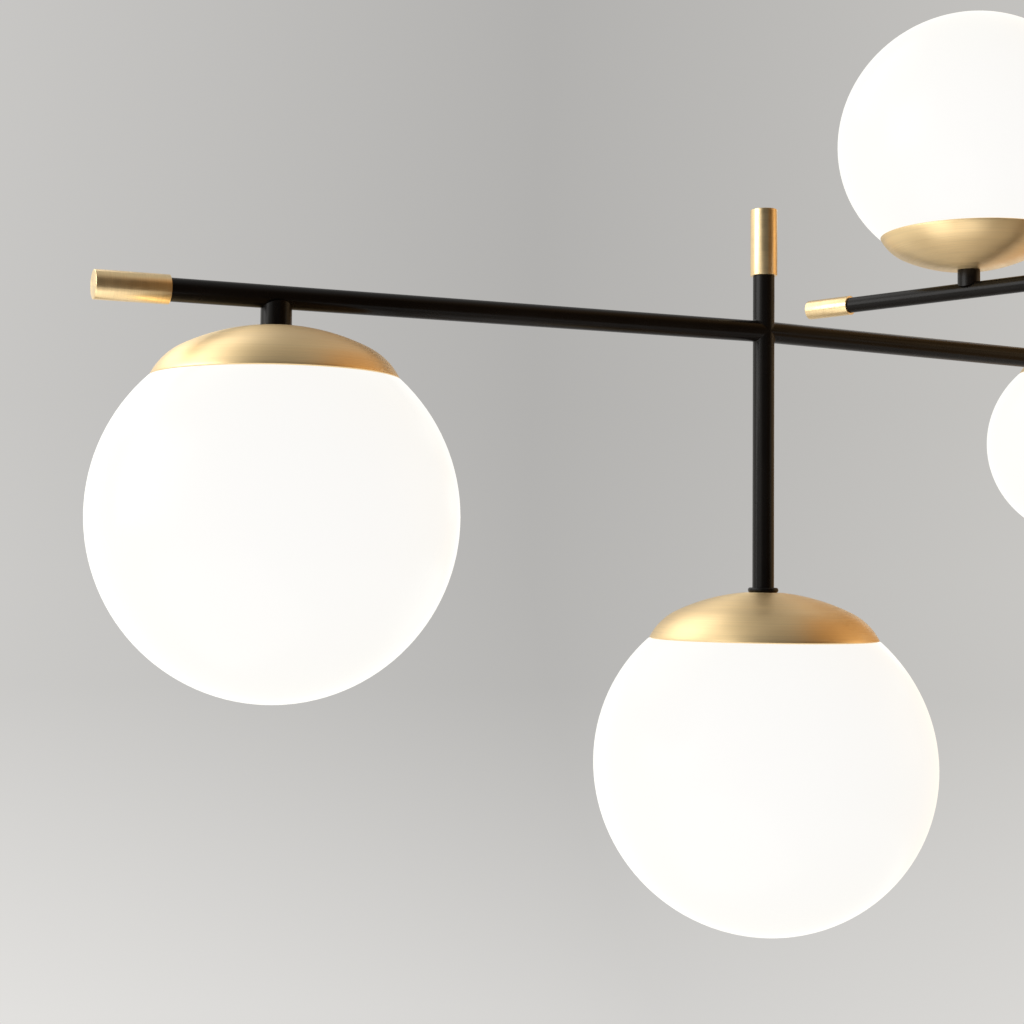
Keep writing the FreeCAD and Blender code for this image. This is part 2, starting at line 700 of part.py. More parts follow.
def arm_a():
    outer_end = A_GLOBE_PAST_ROD + END_PAST_HANGING_GLOBE
    right_end = A_RIGHT_GLOBE + END_PAST_STANDING_GLOBE
    start = SOCKET_FLOOR + SOCKET_PLAY
    inner = arm_tube(LEVEL_A, BEARING_A_INNER, start, A_ROD_REACH)
    outer = arm_tube(LEVEL_A, BEARING_A_OUTER, 0, outer_end - CAP_END, A_ROD_POINT)
    right = arm_tube(LEVEL_A, BEARING_A_RIGHT, start, right_end - CAP_END)
    rod = drop_rod(A_ROD_POINT, A_ROD_DROP, (BEARING_A_INNER + 180, BEARING_A_OUTER))
    caps = [
        end_cap(along(BEARING_A_OUTER, outer_end, 0, A_ROD_POINT), along(BEARING_A_OUTER, 1)),
        end_cap(along(BEARING_A_RIGHT, right_end, LEVEL_A), along(BEARING_A_RIGHT, 1)),
        end_cap(A_ROD_POINT + UP * ROD_RISE, UP),
    ]
    return {
        "hub_a": [hub(LEVEL_A, (BEARING_A_INNER, BEARING_A_RIGHT))],
        "arm_a_inner_tube": [coped(inner, A_ROD_POINT)],
        "arm_a_outer_tube": [drilled(coped(outer, A_ROD_POINT), "a")],
        "arm_a_right_tube": [drilled(right, "a")],
        "arm_a_drop_rod": [rod],
        "arm_a_end_caps": caps,
    }


def arm_b():
    short_end = B_SHORT_GLOBE + END_PAST_STANDING_GLOBE
    long_end = B_LONG_GLOBE + END_PAST_HANGING_GLOBE
    start = SOCKET_FLOOR + SOCKET_PLAY
    short = arm_tube(LEVEL_B, BEARING_B_SHORT, start, short_end - CAP_END)
    long = arm_tube(LEVEL_B, BEARING_B_LONG, start, long_end - CAP_END)
    caps = [
        end_cap(along(BEARING_B_SHORT, short_end, LEVEL_B), along(BEARING_B_SHORT, 1)),
        end_cap(along(BEARING_B_LONG, long_end, LEVEL_B), along(BEARING_B_LONG, 1)),
    ]
    return {
        "hub_b": [hub(LEVEL_B, (BEARING_B_SHORT, BEARING_B_LONG))],
        "arm_b_short_tube": [drilled(short, "b")],
        "arm_b_long_tube": [drilled(long, "b")],
        "arm_b_end_caps": caps,
    }


def arm_c():
    long_end = C_ROD_REACH + END_PAST_HANGING_GLOBE
    start = SOCKET_FLOOR + SOCKET_PLAY
    inner = arm_tube(LEVEL_C, BEARING_C_LONG, start, C_ROD_REACH)
    outer = arm_tube(LEVEL_C, BEARING_C_LONG, C_ROD_REACH, long_end - CAP_END)
    tail = arm_tube(LEVEL_C, BEARING_C_TAIL, start, C_TAIL_END - CAP_END)
    rod = drop_rod(C_ROD_POINT, C_ROD_DROP, (BEARING_C_LONG, BEARING_C_TAIL))
    caps = [
        end_cap(along(BEARING_C_LONG, long_end, LEVEL_C), along(BEARING_C_LONG, 1)),
        end_cap(along(BEARING_C_TAIL, C_TAIL_END, LEVEL_C), along(BEARING_C_TAIL, 1)),
        end_cap(C_ROD_POINT + UP * ROD_RISE, UP),
    ]
    return {
        "hub_c": [hub(LEVEL_C, (BEARING_C_LONG, BEARING_C_TAIL))],
        "arm_c_inner_tube": [coped(inner, C_ROD_POINT)],
        "arm_c_outer_tube": [coped(outer, C_ROD_POINT)],
        "arm_c_tail_tube": [tail],
        "arm_c_drop_rod": [rod],
        "arm_c_end_caps": caps,
    }


def stem_and_ceiling():
    return {
        "ceiling_bracket": [ceiling_bracket()],
        "terminal_block": [terminal_block()],
        "stem_locknuts": stem_locknuts(),
        "central_pipe": [central_pipe()],
        "stem_sleeves": stem_sleeves(),
        "stem_finial": [stem_finial()],
        "canopy_cup": [canopy_cup()],
        "canopy_grip": [canopy_grip()],
        "canopy_grub_screw": [canopy_grub_screw()],
    }


def globes():
    """A node each for the large pieces of a globe, and a node per arm for its small fixings."""
    own_node = {
        "dome_cap": dome_cap(),
        "glass_globe": glass_globe(),
        "lampholder": lampholder(),
        "lamp": lamp(),
    }
    shared_node = {
        "gallery_rings": gallery_ring(),
        "nipples": nipple(),
        "locknuts": locknut(Vector(0, 0, NUT_SEAT_LEVEL - NUT_HEIGHT)),
    }
    stub_piece = stub()
    nodes = {}
    for globe in GLOBES:
        number = globe[0]
        arm = "arm_" + globe[1] + "_"
        for name, shape in own_node.items():
            nodes[name + "_" + str(number)] = [at_globe(shape, globe)]
        for name, shape in shared_node.items():
            nodes.setdefault(arm + name, []).append(at_globe(shape, globe))
        if on_stub(globe):
            nodes.setdefault(arm + "stubs", []).append(at_globe(stub_piece, globe))
    return nodes


def save(name, solids):
    whole = solids[0] if len(solids) == 1 else Part.makeCompound(solids)
    if not whole.isValid() or len(whole.Solids) != len(solids):
        raise ValueError(name + " is not made of whole solids")
    whole.exportStep("parts/" + name + ".step")


os.makedirs("parts", exist_ok=True)
for group in (stem_and_ceiling(), arm_a(), arm_b(), arm_c(), globes()):
    for node, solids in group.items():
        save(node, solids)
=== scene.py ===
"""Looks of the branch chandelier: black tubes, brushed brass domes and caps, lit opal globes."""

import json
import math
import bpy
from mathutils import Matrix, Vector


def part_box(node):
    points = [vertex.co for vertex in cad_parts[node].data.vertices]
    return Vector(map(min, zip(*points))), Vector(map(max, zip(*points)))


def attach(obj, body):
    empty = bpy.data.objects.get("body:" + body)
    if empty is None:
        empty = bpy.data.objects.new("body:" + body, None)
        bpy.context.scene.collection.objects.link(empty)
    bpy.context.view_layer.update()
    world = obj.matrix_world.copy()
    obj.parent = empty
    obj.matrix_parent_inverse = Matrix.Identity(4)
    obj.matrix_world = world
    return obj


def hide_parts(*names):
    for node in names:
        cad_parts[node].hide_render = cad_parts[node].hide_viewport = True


bl_info = {
    "name": "Branch Chandelier",
    "version": (1, 0, 0),
    "blender": (4, 5, 0),
    "location": "3D View > Sidebar > Chandelier",
    "description": "Models and finishes a branch chandelier round its packed frame",
    "category": "Object",
}

import bpy
from mathutils import Matrix, Vector

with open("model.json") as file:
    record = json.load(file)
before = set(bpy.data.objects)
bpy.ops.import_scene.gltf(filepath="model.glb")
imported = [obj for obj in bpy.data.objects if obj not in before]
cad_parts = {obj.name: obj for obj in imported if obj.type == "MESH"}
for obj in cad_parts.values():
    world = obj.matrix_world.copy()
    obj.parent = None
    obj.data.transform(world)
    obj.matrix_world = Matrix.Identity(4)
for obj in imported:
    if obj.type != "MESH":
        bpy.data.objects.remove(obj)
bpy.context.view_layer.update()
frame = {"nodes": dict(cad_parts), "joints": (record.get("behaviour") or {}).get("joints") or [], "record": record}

UP = Vector((0, 0, 1))
SMOOTH_ANGLE = math.radians(32)
JOINTS = {joint["name"]: joint for joint in frame["joints"]}

# ---- the layout, read from the frame ----

ARM_OF_GLOBE = {1: "a", 2: "a", 3: "b", 4: "c", 5: "b", 6: "a"}
STUB_GLOBES = (1, 3, 5, 6)
LEVEL = {arm: JOINTS[f"arm_{arm}_swivel"]["pos_m"][2] for arm in "abc"}
CENTRE = {number: Vector(JOINTS[f"globe_{number}_twist"]["pos_m"]) for number in ARM_OF_GLOBE}
STANDING = {number: JOINTS[f"globe_{number}_twist"]["axis"][2] < 0 for number in ARM_OF_GLOBE}

TUBE_LOW, TUBE_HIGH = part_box("arm_a_right_tube")
TUBE_RADIUS = (TUBE_HIGH.z - TUBE_LOW.z) / 2
TUBE_START = TUBE_LOW.x
CAP_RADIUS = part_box("stem_finial")[1].x
ROD_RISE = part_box("arm_a_end_caps")[1].z - LEVEL["a"]
DOME_LOW, DOME_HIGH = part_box("dome_cap_2")
DOME_RIM_RADIUS = (DOME_HIGH.y - DOME_LOW.y) / 2

# fits and tolerances, in metres
CAP_FIT = 0.00005
SADDLE_GAP = 0.00003
MERGE = 0.000001
ON_RING = 0.00002
ON_END = 0.00001

# forward and right of the photograph's camera, level with the floor
FORWARD = Vector((0.47716, 0.87882, 0))
RIGHT = Vector((0.87882, -0.47716, 0))

# the photograph's camera: its place, its tilt, and its lens on a sensor of that width
CAMERA_PLACE = Vector((-1.0831, -0.8082, -0.8477))
CAMERA_PITCH, CAMERA_ROLL = math.radians(2.72), math.radians(0.69)
CAMERA_LENS, CAMERA_SENSOR = 61.2, 36.0
CAMERA_SHIFT = (0.114, -0.0205)

# the lights and screens stand round this point
STAGE_MIDDLE = Vector((-0.3, 0, -0.7))
WARM_FILL = (1.0, 0.78, 0.50)
WARM_LAMP = (1.0, 0.86, 0.66)


def over(number):
    """The point of its arm's axis that a globe hangs from or stands on."""
    return Vector((CENTRE[number].x, CENTRE[number].y, LEVEL[ARM_OF_GLOBE[number]]))


def stem_point(arm):
    return Vector((0, 0, LEVEL[arm]))


def heading(start, end):
    return (end - start).normalized()


# ---- what a user may change ----

def metres(label, description, default):
    return bpy.props.FloatProperty(
        name=label, description=description, default=default, min=0, unit="LENGTH")


def watts(label, description, default):
    return bpy.props.FloatProperty(
        name=label, description=description, default=default, min=0, unit="POWER")


def tint(label, description, default):
    return bpy.props.FloatVectorProperty(
        name=label, description=description, default=default, subtype="COLOR")


class ChandelierSizes(bpy.types.PropertyGroup):
    globe_radius: metres("Globe Radius", "Outside of the glass", 0.1)
    dome_rim_radius: metres("Dome Rim", "Radius of a dome's open edge", DOME_RIM_RADIUS)
    dome_height: metres("Dome Height", "Crown of a dome over its rim", 0.028)
    dome_shoulder: metres("Dome Shoulder", "Radius of the round over a dome's rim", 0.035)
    dome_rim_angle: bpy.props.FloatProperty(
        name="Dome Rim Angle", description="Steepness of a dome at its rim",
        default=math.radians(64), subtype="ANGLE")
    dome_wall: metres("Dome Wall", "Sheet thickness of a dome", 0.0012)
    dome_edge: metres("Dome Edge", "Broken edge round a dome's rim", 0.0002)
    dome_seat_radius: metres("Dome Seat", "Flat on a dome that its stub or flange sits on", 0.011)
    dome_bore: metres("Dome Bore", "Radius of the hole in a dome's seat", 0.0052)
    tube_radius: metres("Tube Radius", "Outside of the arm, rod and stem tubes", TUBE_RADIUS)
    tube_bore: metres("Tube Bore", "Inside radius of those tubes", 0.00515)
    cap_length: metres("Cap Length", "Length of an end cap", 0.040)
    cap_radius: metres("Cap Radius", "Outside of an end cap", CAP_RADIUS)
    cap_end: metres("Cap End", "Solid end of an end cap", 0.004)
    cap_chamfer: metres("Cap Chamfer", "Broken edge round a cap's end", 0.0006)
    stub_radius: metres("Stub Radius", "Post between an arm and a dome", 0.0085)
    stub_chamfer: metres("Stub Chamfer", "Broken edge round a post's foot", 0.0004)
    stub_ear_drop: metres("Stub Ear Drop", "Top of a post's ears from its tube's axis", 0.0027)
    stub_ear_radius: metres("Stub Ear Radius", "Arch of a post's ears across its tube", 0.013)
    flange_radius: metres("Flange Radius", "Foot of a drop rod", 0.0089)
    flange_height: metres("Flange Height", "Thickness of a drop rod's foot", 0.003)
    flange_round: metres("Flange Round", "Rounding of a drop rod's foot", 0.0013)
    rod_rise: metres("Rod Rise", "Top of a drop rod's cap over its arm", ROD_RISE)
    past_hanging: metres("Past Hanging Globe", "Arm left beyond a globe under it", 0.099)
    past_standing: metres("Past Standing Globe", "Arm left beyond a globe on it", 0.148)
    tail_length: metres("Tail Length", "Reach of arm C's tail from the stem", 0.327)
    weld_fillet: metres("Weld Size", "Grid of the fillet where an arm meets its rod", 0.00035)


class ChandelierFinishes(bpy.types.PropertyGroup):
    coat: tint("Coat", "Satin black of the tubes", (0.0040, 0.0030, 0.0025))
    brass: tint("Brass", "Brushed brass of the domes and caps", (0.88, 0.67, 0.375))
    glow: tint("Glow", "Light of a globe seen straight on", (0.945, 0.935, 0.918))
    rim_glow: tint("Edge Glow", "Light of a globe at its outline", (0.90, 0.885, 0.835))
    grooves: bpy.props.FloatProperty(
        name="Groove Depth", description="Relief of the turned lines in the brass",
        default=0.35, subtype="FACTOR")


class ChandelierStage(bpy.types.PropertyGroup):
    floor_drop: metres("Floor Drop", "Floor below the ceiling face", 3.6)
    key: watts("Key Light", "Power of the soft box on the left", 31.0)
    window: watts("Window Light", "Power of the soft box over the left side", 20.0)
    low: watts("Low Light", "Power of the soft box under the camera", 24.0)
    fill: watts("Fill Light", "Power of the soft box on the right", 4.0)
    inner: watts("Lamp Light", "Power of the lamp in each globe", 1.0)


# ---- modelling, as at the bench ----

def alone(piece):
    """Makes a piece the only one selected."""
    bpy.ops.object.select_all(action="DESELECT")
    piece.select_set(True)
    bpy.context.view_layer.objects.active = piece


def started(name):
    """Names the primitive that was just added, and opens it for editing."""
    piece = bpy.context.active_object
    piece.name = name
    piece.data.name = name
    alone(piece)
    return piece


def pick(piece, kind, test):
    """Selects the vertices, edges or faces that pass a test on where they are, in edit mode."""
    bpy.ops.object.mode_set(mode="EDIT")
    bpy.ops.mesh.select_mode(type=kind)
    bpy.ops.mesh.select_all(action="DESELECT")
    bpy.ops.object.mode_set(mode="OBJECT")
    items = {"VERT": piece.data.vertices, "EDGE": piece.data.edges, "FACE": piece.data.polygons}[kind]
    for item in items:
        item.select = test(item)
    bpy.ops.object.mode_set(mode="EDIT")


def edge_points(piece, edge):
    return [piece.data.vertices[corner].co for corner in edge.vertices]


def ring_test(piece, radius, height):
    """Test for the edges of one ring about Z."""
    def test(edge):
        points = edge_points(piece, edge)
        return all(abs(p.xy.length - radius) < ON_RING and abs(p.z - height) < ON_RING for p in points)

    return test


def turned(name, outline, sides):
    """Turned shell: a ring at the outline's first corner (r, z), extruded from corner to corner."""
    radius, height = outline[0]
    bpy.ops.mesh.primitive_circle_add(
        vertices=sides, radius=radius, fill_type="NOTHING", location=(0, 0, height))
    piece = started(name)
    bpy.ops.object.transform_apply(location=True, rotation=True, scale=True)
    bpy.ops.object.mode_set(mode="EDIT")
    bpy.ops.mesh.select_mode(type="VERT")
    bpy.ops.mesh.select_all(action="SELECT")
    for (radius, height), (wide, high) in zip(outline, outline[1:]):
        bpy.ops.mesh.extrude_region_move(TRANSFORM_OT_translate={"value": (0, 0, high - height)})
        bpy.ops.transform.resize(value=(wide / radius, wide / radius, 1), center_override=(0, 0, high))
    bpy.ops.mesh.select_all(action="SELECT")
    bpy.ops.mesh.remove_doubles(threshold=MERGE)
    bpy.ops.mesh.normals_make_consistent(inside=False)
    bpy.ops.object.mode_set(mode="OBJECT")
    return piece


def use_modifier(piece, kind, **settings):
    """Adds a modifier and applies it."""
    alone(piece)
    modifier = piece.modifiers.new(kind.title(), kind)
    for name, value in settings.items():
        setattr(modifier, name, value)
    bpy.ops.object.modifier_apply(modifier=modifier.name)


def finished(piece):
    """Leaves edit mode, turns the faces outwards and shades them."""
    bpy.ops.object.mode_set(mode="EDIT")
    bpy.ops.mesh.select_all(action="SELECT")
    bpy.ops.mesh.remove_doubles(threshold=MERGE)
    bpy.ops.mesh.normals_make_consistent(inside=False)
    bpy.ops.object.mode_set(mode="OBJECT")
    alone(piece)
    bpy.ops.object.shade_smooth_by_angle(angle=SMOOTH_ANGLE)
    return piece


def turned_map(piece):
    """UV map of a turned piece at the origin: turns round Z across, metres along its outline up."""
    layer = piece.data.uv_layers.get("Turned") or piece.data.uv_layers.new(name="Turned")
    for polygon in piece.data.polygons:
        middle = math.atan2(polygon.center.y, polygon.center.x)
        for loop in polygon.loop_indices:
            point = piece.data.vertices[piece.data.loops[loop].vertex_index].co
            radius = point.xy.length
            angle = math.atan2(point.y, point.x) if radius > 0.00001 else middle
            angle = middle + math.remainder(angle - middle, math.tau)
            layer.data[loop].uv = (angle / math.tau, point.z - radius)
    piece.data.uv_layers.active = layer


def placed(piece, matrix):
    """Moves a piece made at the origin to its place, and keeps that place in its mesh."""
    piece.matrix_world = matrix
    alone(piece)
    bpy.ops.object.transform_apply(location=True, rotation=True, scale=True)
    return piece


def copied(piece, name):
    copy = piece.copy()
    copy.data = piece.data.copy()
    copy.name = name
    copy.data.name = name
    bpy.context.scene.collection.objects.link(copy)
    return copy


def facing(point, direction):
    """Matrix that puts the origin at a point, with Z along a direction."""
    return Matrix.Translation(point) @ direction.to_track_quat("Z", "Y").to_matrix().to_4x4()


def coated(piece, body, nodes, material):
    """Gives a piece its finish and its body, and hides the nodes it stands for."""
    piece.data.materials.clear()
    piece.data.materials.append(material)
    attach(piece, body)
    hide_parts(*nodes)


# ---- shader node groups that more than one finish uses ----

def new_group(name, inputs, outputs):
    """Node group with named sockets, and its input and output nodes."""
    group = bpy.data.node_groups.new(name, "ShaderNodeTree")
    for label, kind, value in inputs:
        socket = group.interface.new_socket(label, in_out="INPUT", socket_type=kind)
        if value is not None:
            socket.default_value = value
    for label, kind in outputs:
        group.interface.new_socket(label, in_out="OUTPUT", socket_type=kind)
    return group, group.nodes.new("NodeGroupInput"), group.nodes.new("NodeGroupOutput")


def maths(tree, operation, *values):
    """Math node whose inputs are sockets or numbers."""
    node = tree.nodes.new("ShaderNodeMath")
    node.operation = operation
    for place, value in enumerate(values):
        if isinstance(value, bpy.types.NodeSocket):
            tree.links.new(value, node.inputs[place])
        else:
            node.inputs[place].default_value = value
    return node.outputs[0]


def ranged(tree, value, low, high, to_low, to_high):
    node = tree.nodes.new("ShaderNodeMapRange")
    tree.links.new(value, node.inputs["Value"])
    for label, number in (("From Min", low), ("From Max", high), ("To Min", to_low), ("To Max", to_high)):
        node.inputs[label].default_value = number
    return node.outputs["Result"]


def share_along(tree, direction, axis):
    """How far a direction points along an axis, from -1 to 1."""
    node = tree.nodes.new("ShaderNodeVectorMath")
    node.operation = "DOT_PRODUCT"
    tree.links.new(direction, node.inputs[0])
    node.inputs[1].default_value = axis
    return node.outputs["Value"]


def ramp(tree, value, stops):
    """Colour that changes with a value from 0 to 1, by stops of (value, colour)."""
    node = tree.nodes.new("ShaderNodeValToRGB")
    tree.links.new(value, node.inputs["Fac"])
    elements = node.color_ramp.elements
    elements.remove(elements[1])
    for where, color in stops:
        stop = elements[0] if where == 0 else elements.new(where)
        stop.position = where
        stop.color = (*color, 1)
    return node.outputs["Color"]


def noise(tree, vector, scale, detail=2.0, roughness=0.5):
    node = tree.nodes.new("ShaderNodeTexNoise")
    tree.links.new(vector, node.inputs["Vector"])
    node.inputs["Scale"].default_value = scale
    node.inputs["Detail"].default_value = detail
    node.inputs["Roughness"].default_value = roughness
    return node.outputs["Fac"]


def turned_lines_group():
    """Fine rings left by a turning or polishing tool, from a map of turns and metres along."""
    name = "Turned Lines"
    if name in bpy.data.node_groups:
        return bpy.data.node_groups[name]
    group, given, result = new_group(
        name,
        [("Turned Map", "NodeSocketVector", None), ("Lines per Metre", "NodeSocketFloat", 2600.0),
         ("Drift", "NodeSocketFloat", 0.9)],
        [("Lines", "NodeSocketFloat"), ("Bands", "NodeSocketFloat")],
    )
    split = group.nodes.new("ShaderNodeSeparateXYZ")
    group.links.new(given.outputs["Turned Map"], split.inputs[0])
    angle = maths(group, "MULTIPLY", split.outputs["X"], math.tau)
    across = maths(group, "MULTIPLY", maths(group, "COSINE", angle), given.outputs["Drift"])
    beside = maths(group, "MULTIPLY", maths(group, "SINE", angle), given.outputs["Drift"])
    for label, share, detail in (("Lines", 1.0, 2.0), ("Bands", 0.12, 1.0)):
        along = maths(group, "MULTIPLY", split.outputs["Y"], given.outputs["Lines per Metre"])
        joined = group.nodes.new("ShaderNodeCombineXYZ")
        group.links.new(across, joined.inputs[0])
        group.links.new(beside, joined.inputs[1])
        group.links.new(maths(group, "MULTIPLY", along, share), joined.inputs[2])
        group.links.new(noise(group, joined.outputs[0], 1.0, detail), result.inputs[label])
    return group


def grain_group():
    """Small rounded bumps of a sprayed or moulded skin, with a slow change of tone."""
    name = "Sprayed Grain"
    if name in bpy.data.node_groups:
        return bpy.data.node_groups[name]
    group, given, result = new_group(
        name,
        [("Position", "NodeSocketVector", None), ("Grains per Metre", "NodeSocketFloat", 1500.0)],
        [("Grain", "NodeSocketFloat"), ("Tone", "NodeSocketFloat")],
    )
    scaled = group.nodes.new("ShaderNodeVectorMath")
    scaled.operation = "SCALE"
    group.links.new(given.outputs["Position"], scaled.inputs[0])
    group.links.new(given.outputs["Grains per Metre"], scaled.inputs["Scale"])
    group.links.new(noise(group, scaled.outputs[0], 1.0, 3.0, 0.6), result.inputs["Grain"])
    group.links.new(noise(group, given.outputs["Position"], 23.0, 3.0), result.inputs["Tone"])
    return group


def use_group(tree, group, **inputs):
    node = tree.nodes.new("ShaderNodeGroup")
    node.node_tree = group
    for label, value in inputs.items():
        socket = node.inputs[label.replace("_", " ")]
        if isinstance(value, bpy.types.NodeSocket):
            tree.links.new(value, socket)
        else:
            socket.default_value = value
    return node.outputs


# ---- finishes ----

def new_finish(name, color, roughness, metallic=0.0):
    """Material with a Principled shader, its node tree and that shader."""
    material = bpy.data.materials.new(name)
    material.use_nodes = True
    shader = material.node_tree.nodes["Principled BSDF"]
    shader.inputs["Base Color"].default_value = (*color, 1)
    shader.inputs["Roughness"].default_value = roughness
    shader.inputs["Metallic"].default_value = metallic
    material.diffuse_color = (*color, 1)
    return material, material.node_tree, shader


def object_position(tree):
    return tree.nodes.new("ShaderNodeTexCoord").outputs["Object"]


def relief(tree, shader, height, strength, distance):
    bump = tree.nodes.new("ShaderNodeBump")
    bump.inputs["Strength"].default_value = strength
    bump.inputs["Distance"].default_value = distance
    tree.links.new(height, bump.inputs["Height"])
    tree.links.new(bump.outputs["Normal"], shader.inputs["Normal"])


def toned(tree, shader, mask, dark, light):
    """Base colour that runs from a dark to a light tone with a mask."""
    mix = tree.nodes.new("ShaderNodeMix")
    mix.data_type = "RGBA"
    mix.inputs["A"].default_value = (*dark, 1)
    mix.inputs["B"].default_value = (*light, 1)
    tree.links.new(mask, mix.inputs["Factor"])
    tree.links.new(mix.outputs["Result"], shader.inputs["Base Color"])


def shade_of(color, factor):
    return tuple(channel * factor for channel in color)


def coat_finish():
    """Satin black powder coat of the tubes, rods, hubs and canopy."""
    name = "satin_black_coat"
    if name in bpy.data.materials:
        return bpy.data.materials[name]
    color = tuple(bpy.context.scene.chandelier_finishes.coat)
    material, tree, shader = new_finish(name, color, 0.4)
    shader.inputs["Specular IOR Level"].default_value = 0.17
    skin = use_group(tree, grain_group(), Position=object_position(tree), Grains_per_Metre=1300.0)
    toned(tree, shader, ranged(tree, skin["Tone"], 0.35, 0.65, 0, 1),
          shade_of(color, 0.85), shade_of(color, 1.2))
    tree.links.new(ranged(tree, skin["Tone"], 0.3, 0.7, 0.24, 0.30), shader.inputs["Roughness"])
    relief(tree, shader, skin["Grain"], 0.12, 0.00008)
    return material


def brass_finish(name, roughness, depth):
    """Brass turned and brushed in rings, with the sheen that such rings give."""
    if name in bpy.data.materials:
        return bpy.data.materials[name]
    finishes = bpy.context.scene.chandelier_finishes
    color = tuple(finishes.brass)
    material, tree, shader = new_finish(name, color, roughness, metallic=1.0)
    shader.inputs["Anisotropic"].default_value = 0.55
    shader.inputs["Anisotropic Rotation"].default_value = 0.25
    tangent = tree.nodes.new("ShaderNodeTangent")
    tangent.direction_type = "UV_MAP"
    tangent.uv_map = "Turned"
    tree.links.new(tangent.outputs[0], shader.inputs["Tangent"])
    source = tree.nodes.new("ShaderNodeUVMap")
    source.uv_map = "Turned"
    lines = use_group(
        tree, turned_lines_group(), Turned_Map=source.outputs[0], Lines_per_Metre=2600.0, Drift=0.8)
    toned(tree, shader, ranged(tree, lines["Lines"], 0.3, 0.7, 0, 1),
          shade_of(color, 0.93), shade_of(color, 1.05))
    tree.links.new(ranged(tree, lines["Bands"], 0.3, 0.7, roughness - 0.04, roughness + 0.04),
                   shader.inputs["Roughness"])
    relief(tree, shader, lines["Lines"], finishes.grooves, depth)
    return material


def dome_brass():
    return brass_finish("brushed_dome_brass", 0.45, 0.00004)


def cap_brass():
    return brass_finish("turned_cap_brass", 0.33, 0.00001)


def opal_finish():
    """Opal glass with its lamp lit: even white, a little warmer at the outline."""
    name = "lit_opal_glass"
    if name in bpy.data.materials:
        return bpy.data.materials[name]
    finishes = bpy.context.scene.chandelier_finishes
    material, tree, shader = new_finish(name, (0.05, 0.049, 0.046), 0.3)
    shader.inputs["Specular IOR Level"].default_value = 0.12
    shader.inputs["Emission Strength"].default_value = 1.0
    outline = tree.nodes.new("ShaderNodeLayerWeight")
    outline.inputs["Blend"].default_value = 0.35
    mix = tree.nodes.new("ShaderNodeMix")
    mix.data_type = "RGBA"
    mix.inputs["A"].default_value = (*finishes.glow, 1)
    mix.inputs["B"].default_value = (*finishes.rim_glow, 1)
    tree.links.new(outline.outputs["Facing"], mix.inputs["Factor"])
    tree.links.new(mix.outputs["Result"], shader.inputs["Emission Color"])
    skin = use_group(tree, grain_group(), Position=object_position(tree), Grains_per_Metre=90.0)
    tree.links.new(ranged(tree, skin["Tone"], 0.3, 0.7, 0.26, 0.34), shader.inputs["Roughness"])
    return material


def plain_finish(name, color, roughness, metallic, grains, depth):
    """Finish of a small fitting: a tone and a fine grain."""
    if name in bpy.data.materials:
        return bpy.data.materials[name]
    material, tree, shader = new_finish(name, color, roughness, metallic)
    skin = use_group(tree, grain_group(), Position=object_position(tree), Grains_per_Metre=grains)
    toned(tree, shader, ranged(tree, skin["Tone"], 0.35, 0.65, 0, 1),
          shade_of(color, 0.9), shade_of(color, 1.06))
    tree.links.new(ranged(tree, skin["Grain"], 0.3, 0.7, roughness * 0.88, roughness * 1.12),
                   shader.inputs["Roughness"])
    relief(tree, shader, skin["Grain"], 0.2, depth)
    return material


# ---- operators, one for each kind of piece ----

def tube_between(name, start, end):
    """Length of tube from one point to another."""
    sizes = bpy.context.scene.chandelier_sizes
    length = (end - start).length
    bpy.ops.mesh.primitive_cylinder_add(
        vertices=64, radius=sizes.tube_radius, depth=length, end_fill_type="NOTHING",
        location=(0, 0, length / 2))
    tube = started(name)
    bpy.ops.object.transform_apply(location=True, rotation=True, scale=True)
    use_modifier(tube, "SOLIDIFY", thickness=sizes.tube_radius - sizes.tube_bore, offset=-1)
    finished(tube)
    return placed(tube, facing(start, heading(start, end)))


class ArmTubes(bpy.types.Operator):
    """Models the tubes of the three arms and the cover tubes of the stem"""
    bl_idname = "chandelier.arm_tubes"
    bl_label = "Arm and Stem Tubes"

    def execute(self, context):
        sizes = context.scene.chandelier_sizes
        rod_a, rod_c = over(2), over(4)
        tail = -heading(stem_point("c"), rod_c)
        tail_end = stem_point("c") + tail * sizes.tail_length
        end_gap = sizes.cap_end
        spans = (
            ("arm_a_inner", "a", stem_point("a"), rod_a, TUBE_START, 0.0),
            ("arm_a_outer", "a", rod_a, over(1), 0.0, sizes.past_hanging - end_gap),
            ("arm_a_right", "a", stem_point("a"), over(6), TUBE_START, sizes.past_standing - end_gap),
            ("arm_b_short", "b", stem_point("b"), over(3), TUBE_START, sizes.past_standing - end_gap),
            ("arm_b_long", "b", stem_point("b"), over(5), TUBE_START, sizes.past_hanging - end_gap),
            ("arm_c_inner", "c", stem_point("c"), rod_c, TUBE_START, 0.0),
            ("arm_c_outer", "c", rod_c, rod_c - tail * sizes.past_hanging, 0.0, -end_gap),
            ("arm_c_tail", "c", stem_point("c"), tail_end, TUBE_START, -end_gap),
        )
        for name, arm, start, end, skip, extra in spans:
            along = heading(start, end)
            tube = tube_between(name + "_pipe", start + along * skip, end + along * extra)
            coated(tube, "arm_" + arm, [name + "_tube"], coat_finish())
        low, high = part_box("stem_sleeves")
        edges = [low.z]
        for arm in "abc":
            hub_low, hub_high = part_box("hub_" + arm)
            if arm == "a":
                edges = [hub_high.z]
            else:
                edges += [hub_low.z, hub_high.z]
        edges.append(high.z)
        for number in range(3):
            start, end = UP * edges[2 * number], UP * edges[2 * number + 1]
            sleeve = tube_between(f"stem_sleeve_{number + 1}", start, end)
            coated(sleeve, "ceiling_stem", ["stem_sleeves"], coat_finish())
        return {"FINISHED"}


